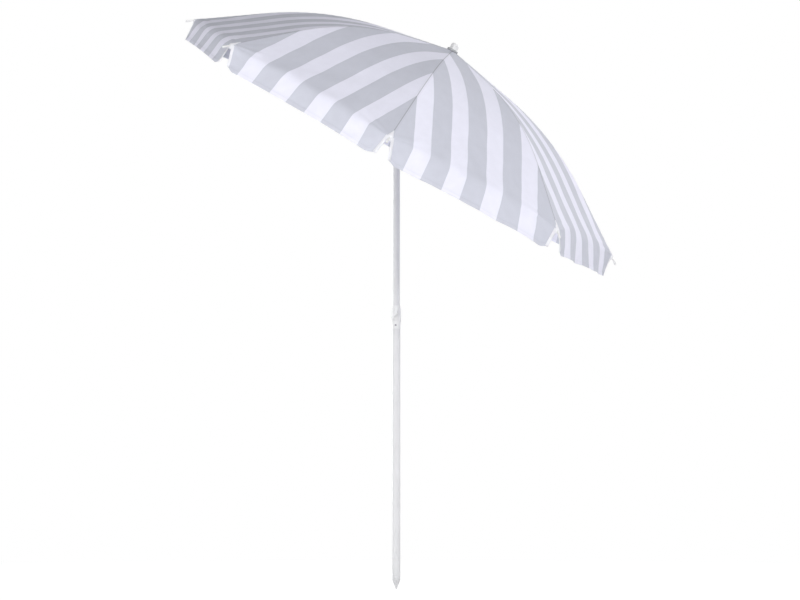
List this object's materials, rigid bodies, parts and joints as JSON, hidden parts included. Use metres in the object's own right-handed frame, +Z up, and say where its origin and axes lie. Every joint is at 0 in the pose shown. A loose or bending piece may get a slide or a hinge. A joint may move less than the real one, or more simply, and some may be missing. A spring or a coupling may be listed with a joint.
{
  "type": "beach umbrella",
  "caption": "Beach umbrella with a spiked telescoping pole, a wing-knob clamp, a tilting head and a folding frame of ribs and stretchers under a striped canopy with a valance.",
  "frame": {"origin": "centre of the lower end of the lower pole, where the ground spike meets it", "axes": "+Z up along the pole; the head tilts in the XZ plane with the low side of the canopy towards +X; the clamp knob faces -Y, turned 13 degrees towards +X"},
  "size_m": [1.2403, 1.4502, 1.8003],
  "materials": {
    "pole_enamel": "white enamel on drawn steel tube, satin",
    "spike_plastic": "pale grey moulded plastic",
    "white_plastic": "white moulded plastic, satin",
    "grey_plastic": "light grey moulded plastic, satin",
    "dark_plastic": "dark grey moulded plastic",
    "bright_steel": "zinc-plated steel",
    "insert_brass": "turned brass",
    "rib_steel": "white lacquer on steel rod and strip",
    "canopy_cloth": "woven polyester in pale grey and white stripes"
  },
  "bodies": {
    "lower_mast": {"lower_pole": "pole_enamel", "ground_spike": "spike_plastic", "clamp_collar": "white_plastic", "collar_screw": "bright_steel", "clamp_insert": "insert_brass"},
    "clamp_handle": {"clamp_screw": "bright_steel", "clamp_knob": "white_plastic"},
    "upper_mast": {"upper_pole": "pole_enamel", "guide_bush": "grey_plastic", "lower_knuckle": "grey_plastic", "tilt_pin": "bright_steel", "tilt_spring": "bright_steel"},
    "tilt_release": {"tilt_button": "dark_plastic"},
    "canopy_head": {"head_tube": "pole_enamel", "upper_knuckle": "grey_plastic", "crown": "white_plastic", "crown_ring": "bright_steel", "apex_cap": "grey_plastic", "finial": "white_plastic"},
    "runner": {"runner": "white_plastic", "runner_ring": "bright_steel", "runner_spring": "bright_steel"},
    "runner_release": {"runner_button": "dark_plastic"},
    "rib_1": {"rib_1": "rib_steel", "rib_tip_1": "white_plastic", "canopy_gore_1": "canopy_cloth"},
    "stretcher_1": {"stretcher_1": "rib_steel"},
    "rib_2": {"rib_2": "rib_steel", "rib_tip_2": "white_plastic", "canopy_gore_2": "canopy_cloth"},
    "stretcher_2": {"stretcher_2": "rib_steel"},
    "rib_3": {"rib_3": "rib_steel", "rib_tip_3": "white_plastic", "canopy_gore_3": "canopy_cloth"},
    "stretcher_3": {"stretcher_3": "rib_steel"},
    "rib_4": {"rib_4": "rib_steel", "rib_tip_4": "white_plastic", "canopy_gore_4": "canopy_cloth"},
    "stretcher_4": {"stretcher_4": "rib_steel"},
    "rib_5": {"rib_5": "rib_steel", "rib_tip_5": "white_plastic", "canopy_gore_5": "canopy_cloth"},
    "stretcher_5": {"stretcher_5": "rib_steel"},
    "rib_6": {"rib_6": "rib_steel", "rib_tip_6": "white_plastic", "canopy_gore_6": "canopy_cloth"},
    "stretcher_6": {"stretcher_6": "rib_steel"},
    "rib_7": {"rib_7": "rib_steel", "rib_tip_7": "white_plastic", "canopy_gore_7": "canopy_cloth"},
    "stretcher_7": {"stretcher_7": "rib_steel"},
    "rib_8": {"rib_8": "rib_steel", "rib_tip_8": "white_plastic", "canopy_gore_8": "canopy_cloth"},
    "stretcher_8": {"stretcher_8": "rib_steel"}
  },
  "joints": [
    {"name": "height_slide", "type": "slide", "parent": "lower_mast", "child": "upper_mast", "axis": [0, 0, -1], "range_m": [-0.15, 0.2]},
    {"name": "clamp_turn", "type": "hinge", "parent": "lower_mast", "child": "clamp_handle", "pos_m": [0.00562, -0.02436, 0.8075], "axis": [0.225, -0.9744, 0], "range_deg": [0, 180]},
    {"name": "tilt_hinge", "type": "hinge", "parent": "upper_mast", "child": "canopy_head", "pos_m": [0, 0, 1.328], "axis": [0, -1, 0], "range_deg": [0, 32]},
    {"name": "tilt_press", "type": "slide", "parent": "upper_mast", "child": "tilt_release", "axis": [1, 0, 0], "range_m": [0, 0.002], "stiffness_N_per_m": 800, "springref_m": -0.001, "deforming": ["tilt_spring"]},
    {"name": "runner_slide", "type": "slide", "parent": "canopy_head", "child": "runner", "axis": [-0.5299, 0, -0.848], "range_m": [0, 0.16993], "deforming": ["canopy_gore_1", "canopy_gore_2", "canopy_gore_3", "canopy_gore_4", "canopy_gore_5", "canopy_gore_6", "canopy_gore_7", "canopy_gore_8"]},
    {"name": "runner_press", "type": "slide", "parent": "runner", "child": "runner_release", "axis": [0, 1, 0], "range_m": [0, 0.0015], "stiffness_N_per_m": 800, "springref_m": -0.001, "deforming": ["runner_spring"]},
    {"name": "rib_hinge_1", "type": "hinge", "parent": "canopy_head", "child": "rib_1", "pos_m": [0.20143, 0.00689, 1.61897], "axis": [-0.3245, 0.9239, 0.2028], "range_deg": [0, 63.2]},
    {"name": "rib_hinge_2", "type": "hinge", "parent": "canopy_head", "child": "rib_2", "pos_m": [0.19317, 0.01663, 1.62414], "axis": [-0.7835, 0.3827, 0.4896], "range_deg": [0, 63.2]},
    {"name": "rib_hinge_3", "type": "hinge", "parent": "canopy_head", "child": "rib_3", "pos_m": [0.18149, 0.01663, 1.63143], "axis": [-0.7835, -0.3827, 0.4896], "range_deg": [0, 63.2]},
    {"name": "rib_hinge_4", "type": "hinge", "parent": "canopy_head", "child": "rib_4", "pos_m": [0.17322, 0.00689, 1.6366], "axis": [-0.3245, -0.9239, 0.2028], "range_deg": [0, 63.2]},
    {"name": "rib_hinge_5", "type": "hinge", "parent": "canopy_head", "child": "rib_5", "pos_m": [0.17322, -0.00689, 1.6366], "axis": [0.3245, -0.9239, -0.2028], "range_deg": [0, 63.2]},
    {"name": "rib_hinge_6", "type": "hinge", "parent": "canopy_head", "child": "rib_6", "pos_m": [0.18149, -0.01663, 1.63143], "axis": [0.7835, -0.3827, -0.4896], "range_deg": [0, 63.2]},
    {"name": "rib_hinge_7", "type": "hinge", "parent": "canopy_head", "child": "rib_7", "pos_m": [0.19317, -0.01663, 1.62414], "axis": [0.7835, 0.3827, -0.4896], "range_deg": [0, 63.2]},
    {"name": "rib_hinge_8", "type": "hinge", "parent": "canopy_head", "child": "rib_8", "pos_m": [0.20143, -0.00689, 1.61897], "axis": [0.3245, 0.9239, -0.2028], "range_deg": [0, 63.2]},
    {"name": "stretcher_hinge_1", "type": "hinge", "parent": "rib_1", "child": "stretcher_1", "pos_m": [0.29278, 0.05986, 1.52385], "axis": [-0.3245, 0.9239, 0.2028], "range_deg": [-104.92, 0]},
    {"name": "stretcher_hinge_2", "type": "hinge", "parent": "rib_2", "child": "stretcher_2", "pos_m": [0.22099, 0.14451, 1.56871], "axis": [-0.7835, 0.3827, 0.4896], "range_deg": [-104.92, 0]},
    {"name": "stretcher_hinge_3", "type": "hinge", "parent": "rib_3", "child": "stretcher_3", "pos_m": [0.11947, 0.14451, 1.63215], "axis": [-0.7835, -0.3827, 0.4896], "range_deg": [-104.92, 0]},
    {"name": "stretcher_hinge_4", "type": "hinge", "parent": "rib_4", "child": "stretcher_4", "pos_m": [0.04768, 0.05986, 1.67701], "axis": [-0.3245, -0.9239, 0.2028], "range_deg": [-104.92, 0]},
    {"name": "stretcher_hinge_5", "type": "hinge", "parent": "rib_5", "child": "stretcher_5", "pos_m": [0.04768, -0.05986, 1.67701], "axis": [0.3245, -0.9239, -0.2028], "range_deg": [-104.92, 0]},
    {"name": "stretcher_hinge_6", "type": "hinge", "parent": "rib_6", "child": "stretcher_6", "pos_m": [0.11947, -0.14451, 1.63215], "axis": [0.7835, -0.3827, -0.4896], "range_deg": [-104.92, 0]},
    {"name": "stretcher_hinge_7", "type": "hinge", "parent": "rib_7", "child": "stretcher_7", "pos_m": [0.22099, -0.14451, 1.56871], "axis": [0.7835, 0.3827, -0.4896], "range_deg": [-104.92, 0]},
    {"name": "stretcher_hinge_8", "type": "hinge", "parent": "rib_8", "child": "stretcher_8", "pos_m": [0.29278, -0.05986, 1.52385], "axis": [0.3245, 0.9239, -0.2028], "range_deg": [-104.92, 0]}
  ],
  "couplings": [
    {"joint": "rib_hinge_1", "follows": "runner_slide", "rad_per_m": 6.4704},
    {"joint": "rib_hinge_2", "follows": "runner_slide", "rad_per_m": 6.4704},
    {"joint": "rib_hinge_3", "follows": "runner_slide", "rad_per_m": 6.4704},
    {"joint": "rib_hinge_4", "follows": "runner_slide", "rad_per_m": 6.4704},
    {"joint": "rib_hinge_5", "follows": "runner_slide", "rad_per_m": 6.4704},
    {"joint": "rib_hinge_6", "follows": "runner_slide", "rad_per_m": 6.4704},
    {"joint": "rib_hinge_7", "follows": "runner_slide", "rad_per_m": 6.4704},
    {"joint": "rib_hinge_8", "follows": "runner_slide", "rad_per_m": 6.4704},
    {"joint": "stretcher_hinge_1", "follows": "runner_slide", "rad_per_m": -10.756},
    {"joint": "stretcher_hinge_2", "follows": "runner_slide", "rad_per_m": -10.756},
    {"joint": "stretcher_hinge_3", "follows": "runner_slide", "rad_per_m": -10.756},
    {"joint": "stretcher_hinge_4", "follows": "runner_slide", "rad_per_m": -10.756},
    {"joint": "stretcher_hinge_5", "follows": "runner_slide", "rad_per_m": -10.756},
    {"joint": "stretcher_hinge_6", "follows": "runner_slide", "rad_per_m": -10.756},
    {"joint": "stretcher_hinge_7", "follows": "runner_slide", "rad_per_m": -10.756},
    {"joint": "stretcher_hinge_8", "follows": "runner_slide", "rad_per_m": -10.756}
  ]
}
